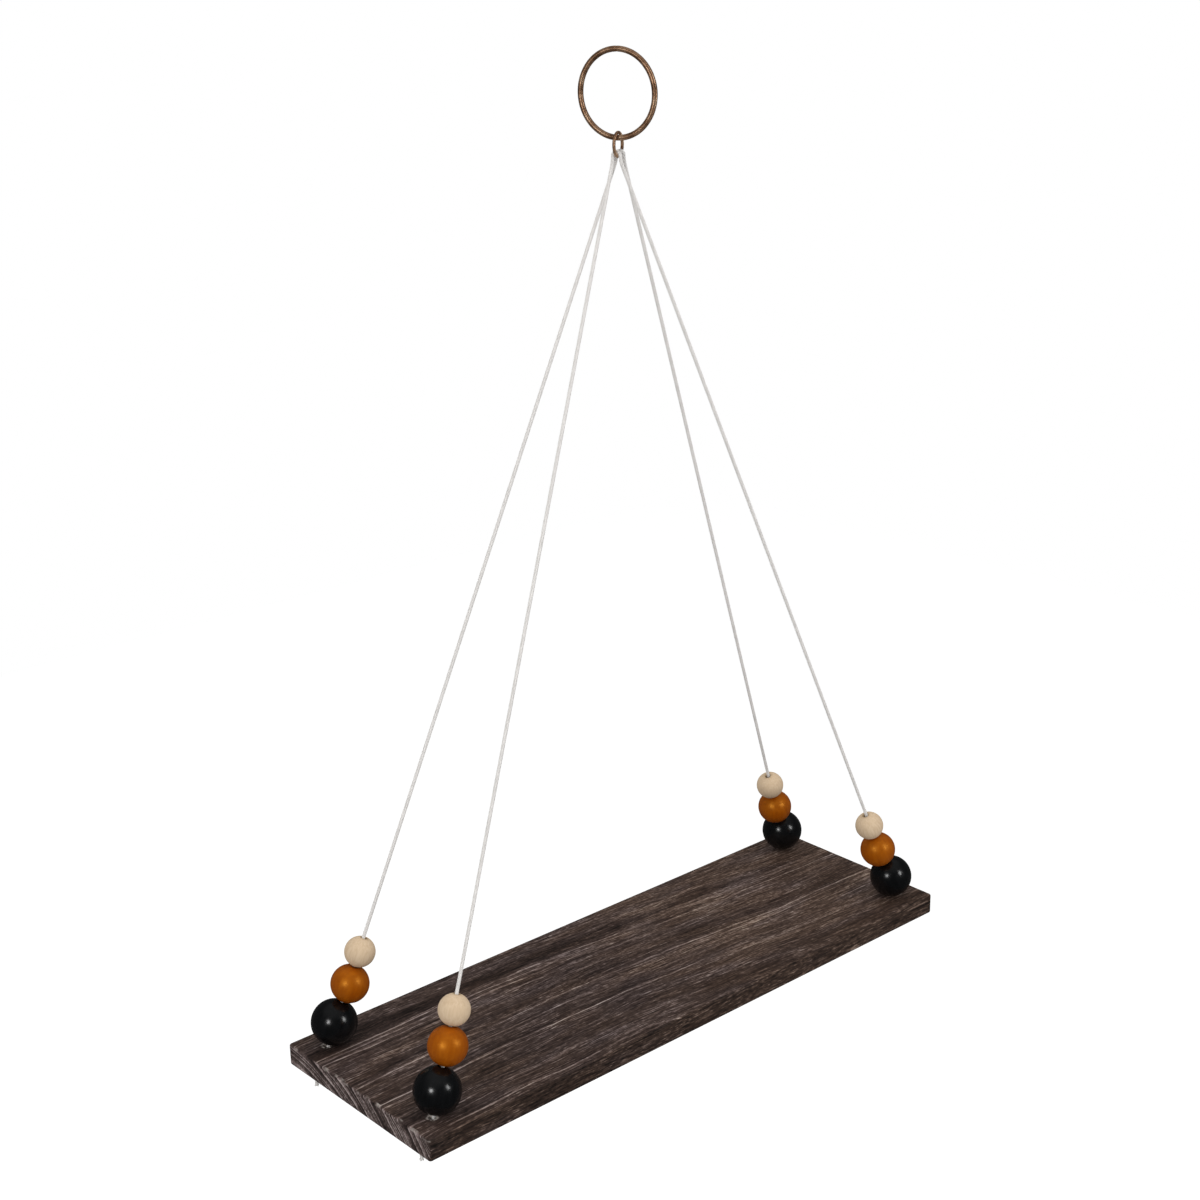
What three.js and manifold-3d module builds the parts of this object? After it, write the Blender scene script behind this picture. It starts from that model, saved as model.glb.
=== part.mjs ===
// Hanging rope shelf: a wooden board carried by two white cords. Each cord is knotted under the
// board at both ends, is strung with three wooden beads above each end, and passes through a small
// wire ring that hangs from a larger one.
// Millimetres, +Z up. The origin is the point inside the top of the large ring where a hook holds
// it. +X runs along the board, and -Y is the board's front edge.

import * as THREE from 'three';
import { mergeVertices } from 'three/addons/utils/BufferGeometryUtils.js';
import Module from 'manifold-3d';

const wasm = await Module();
wasm.setup();

// Cords
const cordDiameter = 2;
const cordSpacing = 5.5;
const cordCornerReach = 3;

// Board, with a hole near each corner that the cord passes through with play
const boardLength = 460;
const boardWidth = 150;
const boardThickness = 15;
const boardCornerRadius = 2;
const boardEdgeRadius = 1.5;
const holePlay = 3;
const holeEndInset = 17;
const holeSideInset = 19;

// Beads, from the board upwards, each with a bore that the cord passes through with play
const blackDiameter = 30;
const blackPlay = 3;
const amberDiameter = 25;
const amberPlay = 2.6;
const naturalDiameter = 20;
const naturalPlay = 2;
const boreChamfer = 0.6;

// Drop from the wire that carries the cords to the top of the board
const hangingDrop = 545;

// Knots, wound from the end of each cord, with a short tail that hangs out at the side
const knotGap = 0.6;
const knotTurns = 1.75;
const knotLeastGap = 0.4;
const knotTailReach = 7;
const knotTailDrop = 11;
const leftKnotTurn = THREE.MathUtils.degToRad(180);
const rightKnotTurn = THREE.MathUtils.degToRad(90);

// Rings
const ringDiameter = 55;
const ringWire = 3.5;
const smallRingDiameter = 16;
const smallRingWire = 2;
const smallRingSlit = 0.4;
const ringTurn = THREE.MathUtils.degToRad(-73);
const smallRingTurn = THREE.MathUtils.degToRad(27);
const smallRingSlitAngle = THREE.MathUtils.degToRad(60);

// Clearances
const restGap = 0.3;
const cordWireGap = 0.45;
const cordWallGap = 0.5;
const drillOverrun = 1;

// Facets
const beadSides = 20;
const beadArcSteps = 10;
const holeSides = 16;
const cornerSteps = 5;
const edgeSteps = 3;
const cordSides = 8;
const cordCornerSteps = 4;
const bightSteps = 10;
const knotSides = 6;
const knotStepsPerTurn = 16;
const knotTurnInSteps = 6;
const knotTailSteps = 8;
const wireSides = 8;
const ringSteps = 60;
const smallRingSteps = 30;

// Heights and places that follow from the sizes above
const cordRadius = cordDiameter / 2;
const holeRadius = (cordDiameter + holePlay) / 2;
const ringPathRadius = (ringDiameter - ringWire) / 2;
const smallRingPathRadius = (smallRingDiameter - smallRingWire) / 2;
const ringCenterZ = -(ringPathRadius - ringWire / 2);
const ringLowWireZ = ringCenterZ - ringPathRadius;
const smallRingHighWireZ = ringLowWireZ + ringWire / 2 + restGap + smallRingWire / 2;
const smallRingCenterZ = smallRingHighWireZ - smallRingPathRadius;
const smallRingLowWireZ = smallRingCenterZ - smallRingPathRadius;
const cordsOnWireZ = smallRingCenterZ - Math.sqrt(smallRingPathRadius ** 2 - (cordSpacing / 2) ** 2);
const boardTopZ = smallRingLowWireZ - hangingDrop;
const boardBottomZ = boardTopZ - boardThickness;
const holeX = boardLength / 2 - holeEndInset;
const holeY = boardWidth / 2 - holeSideInset;
const holeLean = holeRadius - cordRadius - cordWallGap;
const bightRadius = smallRingWire / 2 + cordWireGap + cordRadius;

// The small ring stands nearly square to the large one. Its cords lie apart along its wire, with
// each left-hand strand behind the wire and each right-hand strand in front of it.
const alongWire = new THREE.Vector3(Math.cos(smallRingTurn), Math.sin(smallRingTurn), 0);
const behindWire = new THREE.Vector3(-Math.sin(smallRingTurn), Math.cos(smallRingTurn), 0);
const up = new THREE.Vector3(0, 0, 1);

const colours = {
  black: 0x0d0f12,
  amber: 0xb9650f,
  natural: 0xd9c2a3,
  stainedWood: 0x4b3f39,
  whiteCord: 0xe6e4df,
  agedBrass: 0x6b4c2e,
};

function finish(color, roughness, metalness) {
  return new THREE.MeshStandardMaterial({ color, roughness, metalness });
}

function named(name, geometry, material) {
  const mesh = new THREE.Mesh(geometry, material);
  mesh.name = name;
  return mesh;
}

// A path with one cross-section of the tube at each of its points
class PointPath extends THREE.Curve {
  constructor(points) {
    super();
    this.points = points;
  }

  getPoint(t, target = new THREE.Vector3()) {
    const place = t * (this.points.length - 1);
    const index = Math.min(Math.round(place), this.points.length - 1);
    return target.copy(this.points[index]);
  }

  getPointAt(u, target) {
    return this.getPoint(u, target);
  }

  getTangent(t, target = new THREE.Vector3()) {
    const last = this.points.length - 1;
    const index = Math.min(Math.round(t * last), last);
    const here = this.points[index];
    const before = this.points[Math.max(index - 1, 0)];
    const after = this.points[Math.min(index + 1, last)];
    const arriving = here.clone().sub(before).normalize();
    const leaving = after.clone().sub(here).normalize();
    return target.copy(arriving).add(leaving).normalize();
  }

  getTangentAt(u, target) {
    return this.getTangent(u, target);
  }
}

function polygon(radius, sides) {
  const points = [];
  for (let i = 0; i < sides; i += 1) {
    const angle = (2 * Math.PI * i) / sides;
    points.push(new THREE.Vector2(radius * Math.cos(angle), radius * Math.sin(angle)));
  }
  return new THREE.Shape(points);
}

function tube(points, radius, sides) {
  return new THREE.ExtrudeGeometry(polygon(radius, sides), {
    steps: points.length - 1,
    bevelEnabled: false,
    extrudePath: new PointPath(points),
  });
}

function toSolid(geometry) {
  const bare = geometry.clone();
  bare.deleteAttribute('normal');
  bare.deleteAttribute('uv');
  const merged = mergeVertices(bare);
  return new wasm.Manifold(new wasm.Mesh({
    numProp: 3,
    vertProperties: new Float32Array(merged.attributes.position.array),
    triVerts: new Uint32Array(merged.index.array),
  }));
}

function toGeometry(solid) {
  const mesh = solid.getMesh();
  const geometry = new THREE.BufferGeometry();
  geometry.setAttribute('position', new THREE.BufferAttribute(mesh.vertProperties, 3));
  geometry.setIndex(new THREE.BufferAttribute(mesh.triVerts, 1));
  geometry.computeVertexNormals();
  return geometry;
}

// Board: an eased plank with a drilled hole near each corner, modelled with its top at zero
function boardGeometry() {
  const x = boardLength / 2;
  const y = boardWidth / 2;
  const r = boardCornerRadius;
  const outline = new THREE.Shape();
  outline.absarc(x - r, y - r, r, 0, Math.PI / 2);
  outline.absarc(r - x, y - r, r, Math.PI / 2, Math.PI);
  outline.absarc(r - x, r - y, r, Math.PI, 1.5 * Math.PI);
  outline.absarc(x - r, r - y, r, 1.5 * Math.PI, 2 * Math.PI);
  const plank = new THREE.ExtrudeGeometry(outline, {
    depth: boardThickness - 2 * boardEdgeRadius,
    bevelThickness: boardEdgeRadius,
    bevelSize: boardEdgeRadius,
    bevelOffset: -boardEdgeRadius,
    bevelSegments: edgeSteps,
    curveSegments: cornerSteps,
  });
  plank.translate(0, 0, boardEdgeRadius - boardThickness);
  let solid = toSolid(plank);
  for (const sideX of [-1, 1]) {
    for (const sideY of [-1, 1]) {
      const depth = boardThickness + 2 * drillOverrun;
      const drill = new THREE.CylinderGeometry(holeRadius, holeRadius, depth, holeSides);
      drill.rotateX(Math.PI / 2);
      drill.translate(sideX * holeX, sideY * holeY, -boardThickness / 2);
      solid = solid.subtract(toSolid(drill));
    }
  }
  return toGeometry(solid);
}

// Height of a bead's rim above its middle, where the chamfer of the bore meets the ball
function rimHeight(diameter, bore) {
  const rimRadius = bore / 2 + boreChamfer;
  return Math.sqrt((diameter / 2) ** 2 - rimRadius ** 2);
}

// Bead: a ball with a bore chamfered at both mouths, turned about its own Y axis
function beadGeometry(diameter, bore) {
  const radius = diameter / 2;
  const rim = rimHeight(diameter, bore);
  const rimAngle = Math.asin((bore / 2 + boreChamfer) / radius);
  const profile = [new THREE.Vector2(bore / 2, boreChamfer - rim)];
  for (let i = 0; i <= beadArcSteps; i += 1) {
    const angle = rimAngle + ((Math.PI - 2 * rimAngle) * i) / beadArcSteps;
    profile.push(new THREE.Vector2(radius * Math.sin(angle), -radius * Math.cos(angle)));
  }
  profile.push(new THREE.Vector2(bore / 2, rim - boreChamfer));
  profile.push(profile[0].clone());
  return new THREE.LatheGeometry(profile, beadSides);
}

// A rounded corner in a cord's route, without its two ends
function corner(before, at, after) {
  const start = at.clone().addScaledVector(before.clone().sub(at).normalize(), cordCornerReach);
  const end = at.clone().addScaledVector(after.clone().sub(at).normalize(), cordCornerReach);
  return new THREE.QuadraticBezierCurve3(start, at, end).getPoints(cordCornerSteps);
}

// One strand: the point under the small ring where it turns outwards, and its way through the
// board, from the inner side of the hole's mouth to the outer side of its lower end
function strand(sideX, sideY) {
  const onWire = alongWire.clone().multiplyScalar((sideY * cordSpacing) / 2);
  onWire.z = cordsOnWireZ;
  const exit = onWire.clone().addScaledVector(behindWire, -sideX * bightRadius);
  const shoulder = exit.clone().addScaledVector(up, -cordCornerReach);
  const hole = new THREE.Vector3(sideX * holeX, sideY * holeY, boardTopZ);
  const outwards = hole.clone().sub(shoulder).setZ(0).normalize();
  const mouth = hole.clone().addScaledVector(outwards, -holeLean);
  const end = hole.clone().addScaledVector(outwards, holeLean).setZ(boardBottomZ);
  const direction = shoulder.clone().sub(mouth).normalize();
  const aside = new THREE.Vector3().crossVectors(direction, outwards).cross(direction).normalize();
  return { onWire, exit, shoulder, mouth, end, direction, aside };
}

// Where a strand has a cross-section on its straight run, from its shoulder to its hole's mouth
const straightShares = [0.15, 0.3, 0.45, 0.6, 0.75, 0.9];

function strandPoints(sideX, sideY) {
  const { exit, shoulder, mouth, end } = strand(sideX, sideY);
  const straight = straightShares.map((share) => shoulder.clone().lerp(mouth, share));
  return [...corner(exit, shoulder, mouth), ...straight, ...corner(shoulder, mouth, end), end];
}

// Half a turn over the small ring's wire, from the left-hand strand to the right-hand one
function bightPoints(sideY) {
  const { onWire } = strand(-1, sideY);
  const points = [];
  for (let i = 1; i < bightSteps; i += 1) {
    const angle = (Math.PI * i) / bightSteps;
    points.push(onWire.clone()
      .addScaledVector(behindWire, bightRadius * Math.cos(angle))
      .addScaledVector(up, bightRadius * Math.sin(angle)));
  }
  return points;
}

function cordPoints(sideY) {
  return [...strandPoints(-1, sideY).reverse(), ...bightPoints(sideY), ...strandPoints(1, sideY)];
}

// Knot: the cord turns back at the bottom, winds up round itself and ends in a tail, which leaves
// the last winding along its tangent and droops. The knot's top is at zero.
function knotPoints() {
  const step = cordDiameter + knotGap;
  const height = knotTurns * step;
  const bottom = -(cordRadius + height);
  const turnIn = new THREE.CubicBezierCurve3(
    new THREE.Vector3(0, 0, bottom + step),
    new THREE.Vector3(0, 0, bottom),
    new THREE.Vector3(step, -step / 2, bottom),
    new THREE.Vector3(step, 0, bottom),
  ).getPoints(knotTurnInSteps);
  const points = [new THREE.Vector3(0, 0, 0), ...turnIn];
  const windings = Math.round(knotTurns * knotStepsPerTurn);
  for (let i = 1; i <= windings; i += 1) {
    const turn = i / knotStepsPerTurn;
    const angle = 2 * Math.PI * turn;
    points.push(new THREE.Vector3(step * Math.cos(angle), step * Math.sin(angle), bottom + step * turn));
  }
  const leaving = points.at(-1);
  const lastAngle = 2 * Math.PI * knotTurns;
  const outwards = new THREE.Vector3(-Math.sin(lastAngle), Math.cos(lastAngle), 0);
  const aside = leaving.clone().addScaledVector(outwards, knotTailReach);
  const tip = aside.clone().addScaledVector(up, -knotTailDrop);
  const tail = new THREE.CubicBezierCurve3(leaving, aside, aside, tip).getPoints(knotTailSteps);
  return [...points, ...tail.slice(1)];
}

// Least gap of a wound tube to itself, from points on its path that are some steps or more apart
function leastGap(points, radius, stepsApart) {
  let least = Infinity;
  for (let i = 0; i < points.length; i += 1) {
    for (let j = i + stepsApart; j < points.length; j += 1) {
      least = Math.min(least, points[i].distanceTo(points[j]) - 2 * radius);
    }
  }
  return least;
}

// Small ring: one bent wire, with the slit where its two ends meet
function smallRingGeometry() {
  const slitAngle = smallRingSlit / smallRingPathRadius;
  const points = [];
  for (let i = 0; i <= smallRingSteps; i += 1) {
    const angle = smallRingSlitAngle + slitAngle / 2
      + ((2 * Math.PI - slitAngle) * i) / smallRingSteps;
    points.push(new THREE.Vector3(
      smallRingPathRadius * Math.cos(angle),
      0,
      smallRingPathRadius * Math.sin(angle),
    ));
  }
  return tube(points, smallRingWire / 2, wireSides);
}

function ringGeometry() {
  const ring = new THREE.TorusGeometry(ringPathRadius, ringWire / 2, wireSides, ringSteps);
  ring.rotateX(Math.PI / 2);
  return ring;
}

// The beads of a stack, from the board upwards. In each the cord lies against one side of the bore,
// so the lowest bead lies off the cord's line on the outer side and the others on the inner side.
const beadKinds = [
  { name: 'black', diameter: blackDiameter, play: blackPlay, side: 1, roughness: 0.18 },
  { name: 'amber', diameter: amberDiameter, play: amberPlay, side: -1, roughness: 0.35 },
  { name: 'natural', diameter: naturalDiameter, play: naturalPlay, side: -1, roughness: 0.7 },
];

// Three beads threaded on a strand, each on the one below it, with the first on the board
function beadStack(cornerName, sideX, sideY) {
  const { mouth, direction, aside } = strand(sideX, sideY);
  const stack = new THREE.Group();
  let along = 0;
  let rimBelow = 0;
  for (const { name, diameter, play, side, roughness } of beadKinds) {
    const bore = cordDiameter + play;
    const rim = rimHeight(diameter, bore);
    const lean = side * (play / 2 - restGap);
    along += rimBelow > 0
      ? rimBelow + restGap + rim
      : (diameter / 2 + restGap - lean * aside.z) / direction.z;
    const ball = beadGeometry(diameter, bore);
    const bead = named(`${name}_bead_${cornerName}`, ball, finish(colours[name], roughness, 0));
    bead.position.copy(mouth).addScaledVector(direction, along).addScaledVector(aside, lean);
    bead.quaternion.setFromUnitVectors(new THREE.Vector3(0, 1, 0), direction);
    stack.add(bead);
    rimBelow = rim;
  }
  return stack;
}

function knot(cornerName, sideX, sideY) {
  const { end } = strand(sideX, sideY);
  const cord = tube(knotPoints(), cordRadius, knotSides);
  const mesh = named(`knot_${cornerName}`, cord, finish(colours.whiteCord, 0.9, 0));
  mesh.position.copy(end).addScaledVector(up, -restGap);
  mesh.rotation.z = sideX > 0 ? rightKnotTurn : leftKnotTurn;
  return mesh;
}

const shelf = new THREE.Group();

const ring = named('hanging_ring', ringGeometry(), finish(colours.agedBrass, 0.3, 1));
ring.position.z = ringCenterZ;
ring.rotation.z = ringTurn;
shelf.add(ring);

const smallRing = named('small_ring', smallRingGeometry(), finish(colours.agedBrass, 0.3, 1));
smallRing.position.z = smallRingCenterZ;
smallRing.rotation.z = smallRingTurn;
shelf.add(smallRing);

const board = named('shelf_board', boardGeometry(), finish(colours.stainedWood, 0.75, 0));
board.position.z = boardTopZ;
shelf.add(board);

for (const [name, sideY] of [['front', -1], ['back', 1]]) {
  const cord = tube(cordPoints(sideY), cordRadius, cordSides);
  shelf.add(named(`${name}_cord`, cord, finish(colours.whiteCord, 0.9, 0)));
  for (const [side, sideX] of [['left', -1], ['right', 1]]) {
    shelf.add(beadStack(`${name}_${side}`, sideX, sideY));
    shelf.add(knot(`${name}_${side}`, sideX, sideY));
  }
}

const knotGapToItself = leastGap(knotPoints(), cordRadius, knotStepsPerTurn / 2).toFixed(2);
console.log(`Least gap of a knot to itself: ${knotGapToItself} mm, over ${knotLeastGap} mm wanted`);

export default shelf;
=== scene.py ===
# Hanging rope shelf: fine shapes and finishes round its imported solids.
# Metres, +Z up. +X runs along the board, and -Y is its front edge.

import math
import random

import bmesh
import bpy
import numpy as np
from mathutils import Matrix, Vector, noise


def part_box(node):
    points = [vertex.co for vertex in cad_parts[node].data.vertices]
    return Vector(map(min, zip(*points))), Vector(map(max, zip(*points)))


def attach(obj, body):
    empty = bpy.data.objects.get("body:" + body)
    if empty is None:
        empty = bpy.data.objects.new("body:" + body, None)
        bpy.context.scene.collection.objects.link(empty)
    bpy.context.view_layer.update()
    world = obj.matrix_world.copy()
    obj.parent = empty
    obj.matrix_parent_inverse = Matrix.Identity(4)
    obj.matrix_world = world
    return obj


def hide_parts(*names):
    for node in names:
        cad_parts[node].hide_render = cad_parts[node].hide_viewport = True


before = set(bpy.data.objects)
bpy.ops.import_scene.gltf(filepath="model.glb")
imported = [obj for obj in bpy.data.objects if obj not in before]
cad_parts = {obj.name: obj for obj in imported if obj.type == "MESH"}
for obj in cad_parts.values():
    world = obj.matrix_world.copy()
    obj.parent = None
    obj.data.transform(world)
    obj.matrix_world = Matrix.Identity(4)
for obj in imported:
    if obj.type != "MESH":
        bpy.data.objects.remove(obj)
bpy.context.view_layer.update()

MM = 0.001
UP = Vector((0, 0, 1))

# Cords, and the small ring that they pass over
cord_radius = 1 * MM
cord_spacing = 5.5 * MM
cord_corner_reach = 3 * MM
cord_wire_gap = 0.45 * MM
cord_wall_gap = 0.5 * MM
rest_gap = 0.3 * MM

# Rings
ring_diameter = 55 * MM
ring_wire = 3.5 * MM
small_ring_diameter = 16 * MM
small_ring_wire = 2 * MM
small_ring_slit = 0.4 * MM
ring_turn = math.radians(-73)
small_ring_turn = math.radians(27)
small_ring_slit_angle = math.radians(60)

# Board
board_low, board_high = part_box("shelf_board")
board_length = board_high.x - board_low.x
board_width = board_high.y - board_low.y
board_thickness = board_high.z - board_low.z
board_corner_radius = 2 * MM
board_edge_radius = 1.5 * MM
hole_radius = 2.5 * MM
hole_end_inset = 17 * MM
hole_side_inset = 19 * MM

# Beads
bead_kinds = {
    "black": {"diameter": 30 * MM, "bore": 5 * MM},
    "amber": {"diameter": 25 * MM, "bore": 4.6 * MM},
    "natural": {"diameter": 20 * MM, "bore": 4 * MM},
}
bore_chamfer = 0.6 * MM

# Knots
knot_gap = 0.6 * MM
knot_turns = 1.75
knot_tail_reach = 7 * MM
knot_tail_drop = 11 * MM
left_knot_turn = math.radians(180)
right_knot_turn = math.radians(90)

# Heights and directions that follow
ring_path_radius = (ring_diameter - ring_wire) / 2
ring_center = Vector((0, 0, ring_wire / 2 - ring_path_radius))
ring_low_wire_z = ring_center.z - ring_path_radius
small_ring_path_radius = (small_ring_diameter - small_ring_wire) / 2
small_ring_high_wire_z = ring_low_wire_z + (ring_wire + small_ring_wire) / 2 + rest_gap
small_ring_center = Vector((0, 0, small_ring_high_wire_z - small_ring_path_radius))
bight_radius = small_ring_wire / 2 + cord_wire_gap + cord_radius
hole_lean = hole_radius - cord_radius - cord_wall_gap
along_wire = Vector((math.cos(small_ring_turn), math.sin(small_ring_turn), 0))
behind_wire = Vector((-math.sin(small_ring_turn), math.cos(small_ring_turn), 0))

corners = [
    (f"{row}_{side}", side_x, side_y)
    for row, side_y in (("front", -1), ("back", 1))
    for side, side_x in (("left", -1), ("right", 1))
]


# Small helpers for nodes, colours and meshes

def linear(code):
    """A colour written as sRGB hex, as the linear values that shaders take."""
    values = [int(code[place:place + 2], 16) / 255 for place in (1, 3, 5)]
    return [v / 12.92 if v <= 0.04045 else ((v + 0.055) / 1.055) ** 2.4 for v in values] + [1]


def add(tree, kind, inputs=None, stops=(), **settings):
    """Adds a node. An input is a value, or a node or socket to link from. Stops are a ramp's."""
    made = tree.nodes.new(kind)
    for name, value in settings.items():
        setattr(made, name, value)
    for socket, value in (inputs or {}).items():
        if isinstance(value, bpy.types.Node):
            value = next(output for output in value.outputs if output.enabled)
        if isinstance(value, bpy.types.NodeSocket):
            tree.links.new(value, made.inputs[socket])
        else:
            made.inputs[socket].default_value = value
    for index, (place, tone) in enumerate(stops):
        elements = made.color_ramp.elements
        element = elements[index] if index < 2 else elements.new(place)
        element.position = place
        element.color = linear(tone) if isinstance(tone, str) else (tone, tone, tone, 1)
    return made


def summed(tree, start, parts):
    """A start plus values that are each taken times a weight."""
    total = start
    for value, weight in parts:
        total = add(tree, "ShaderNodeMath", {0: value, 1: weight, 2: total}, operation="MULTIPLY_ADD")
    return total


# Noise stays about as far above this value as below it
noise_middle = 0.5


def about(tree, level, noises, parts=()):
    """A level plus noises about their middle and plain values, each taken times a weight."""
    start = level - noise_middle * sum(weight for _, weight in noises)
    return summed(tree, start, [*noises, *parts])


def blended(tree, share, first, second):
    """A colour between two, each a node or a hex value."""
    ends = [linear(end) if isinstance(end, str) else end for end in (first, second)]
    inputs = {"Factor": share, 6: ends[0], 7: ends[1]}
    return add(tree, "ShaderNodeMix", inputs, data_type="RGBA").outputs[2]


def stretched(tree, place, sizes, detail=1):
    """Noise whose marks are about as large along each axis as the sizes say."""
    scales = [1 / size for size in sizes]
    scaled = add(tree, "ShaderNodeVectorMath", {0: place, 1: scales}, operation="MULTIPLY")
    return add(tree, "ShaderNodeTexNoise", {"Vector": scaled, "Scale": 1, "Detail": detail}).outputs[0]


def empty_tree(made):
    """The node tree of a material or a world, with no nodes left in it."""
    made.use_nodes = True
    made.node_tree.nodes.clear()
    return made.node_tree


def material(name, body, **constants):
    """A node material. body(tree) returns the inputs to link to its shader."""
    made = bpy.data.materials.new(name)
    tree = empty_tree(made)
    inputs = {socket.replace("_", " "): value for socket, value in constants.items()}
    inputs.update(body(tree))
    shader = add(tree, "ShaderNodeBsdfPrincipled", inputs)
    add(tree, "ShaderNodeOutputMaterial", {"Surface": shader})
    return made


def new_object(name, data):
    """An object that shows this data, in the scene."""
    made = bpy.data.objects.new(name, data)
    bpy.context.scene.collection.objects.link(made)
    return made


def mesh_object(name, vertices, faces, finish, attributes=None):
    """A smooth closed mesh, with its normals outwards and any values it carries for its finish."""
    mesh = bpy.data.meshes.new(name)
    mesh.from_pydata([tuple(v) for v in vertices], [], faces)
    for key, values in (attributes or {}).items():
        values = np.asarray(values, np.float32)
        kind, field = ("FLOAT_VECTOR", "vector") if values.ndim == 2 else ("FLOAT", "value")
        mesh.attributes.new(key, kind, "POINT").data.foreach_set(field, values.ravel())
    work = bmesh.new()
    work.from_mesh(mesh)
    bmesh.ops.recalc_face_normals(work, faces=work.faces)
    work.to_mesh(mesh)
    work.free()
    mesh.shade_smooth()
    mesh.materials.append(finish)
    return new_object(name, mesh)


def place_piece(piece, body, slot, *nodes):
    """Says which body a piece rides on and the solids that it stands for. Its slot is not used."""
    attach(piece, body)
    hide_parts(*nodes)


# Finishes

# Plank, in millimetres: growth rings run round a pith behind and below it
pith_y, pith_z = 78, -120
ring_spacing = 3.4
ring_unevenness = 4
ring_unevenness_scale = 0.09
bend_start, bend_end = -90, 240
bend_reach = 18
wide_wander, small_wander = 8, 1.4
wide_wander_sizes, small_wander_sizes = (95, 30, 30), (17, 5, 5)
right_start, right_end = -25, 60
front_start_share, front_end_share = 0.66, 0.95

# How deep under a face its own tone ends, and to which depth it is full
skin = 0.9
skin_full = 0.2 * skin

# Marks along the grain: how long, broad and deep they are, and the detail of their noise
grain_marks = {
    "fibres": ((42, 0.9, 0.9), 2),
    "strokes": ((11, 0.8, 0.8), 1),
    "pores": ((6, 0.55, 0.55), 1),
    "mottle": ((3.2, 1.7, 1.7), 2),
    "zones": ((75, 11, 11), 1),
    "gaps": ((45, 3, 3), 1),
    "hue_patches": ((60, 14, 14), 1),
}
ring_stops = [(0, 0.1), (0.1, 1), (0.35, 0.6), (0.7, 0.35), (0.93, 0), (1, 0.1)]
lime_start, lime_full = 0.84, 1.02

# The pale lines fade in gaps, and are stronger near the left end
gap_low, gap_high, gap_strength = 0.34, 0.5, 0.3
strong_line_end, strong_line_gain = -60, 1.5

# Tones from 0 to 1, of the long faces and of the ends, and the two hues of the stain
long_level, end_level = 0.39, 0.22
warm_level = 0.4
mauve_stops = [
    (0.05, "#150e0c"), (0.35, "#342825"), (0.55, "#4b3e3a"), (0.78, "#786967"), (1, "#a89b97"),
]
brown_stops = [
    (0.05, "#160e0a"), (0.35, "#36271f"), (0.55, "#4d3c32"), (0.78, "#776358"), (1, "#a59485"),
]
bare_wood = "#cdc3bb"

# Lines along the plank's top: a share of its width from the back edge, and a strength
left_light_shares = [
    (0.204, 0.6), (0.232, 0.8), (0.262, 0.65), (0.3, 0.3), (0.487, 0.65), (0.56, 0.4), (0.66, 1),
    (0.865, 0.6), (0.965, 0.55),
]
right_light_shares = [
    (0.085, 0.3), (0.13, 0.35), (0.205, 0.45), (0.25, 0.35), (0.487, 0.9), (0.52, 0.45), (0.556, 0.4),
    (0.6, 0.3), (0.7, 0.25),
]
line_reach_share = 0.0055
left_dark_shares = [
    (0.1, 0), (0.125, 0.9), (0.182, 1), (0.196, 0), (0.275, 0), (0.286, 0.5), (0.297, 0), (0.4, 0),
    (0.45, 0.4), (0.475, 0), (0.625, 0), (0.645, 0.7), (0.653, 0), (0.7, 0), (0.76, 0.3), (0.82, 0),
]
right_dark_shares = [
    (0.1, 0), (0.15, 0.45), (0.163, 1), (0.176, 0.2), (0.2, 0), (0.33, 0), (0.4, 0.35), (0.47, 0.5),
    (0.48, 0), (0.76, 0), (0.84, 0.45), (1, 0.5),
]


def peaks(lines):
    """Ramp stops that rise to each line's strength and fall again."""
    stops = []
    for share, strength in lines:
        stops += [(share - line_reach_share, 0), (share, strength), (share + line_reach_share, 0)]
    return stops


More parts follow.
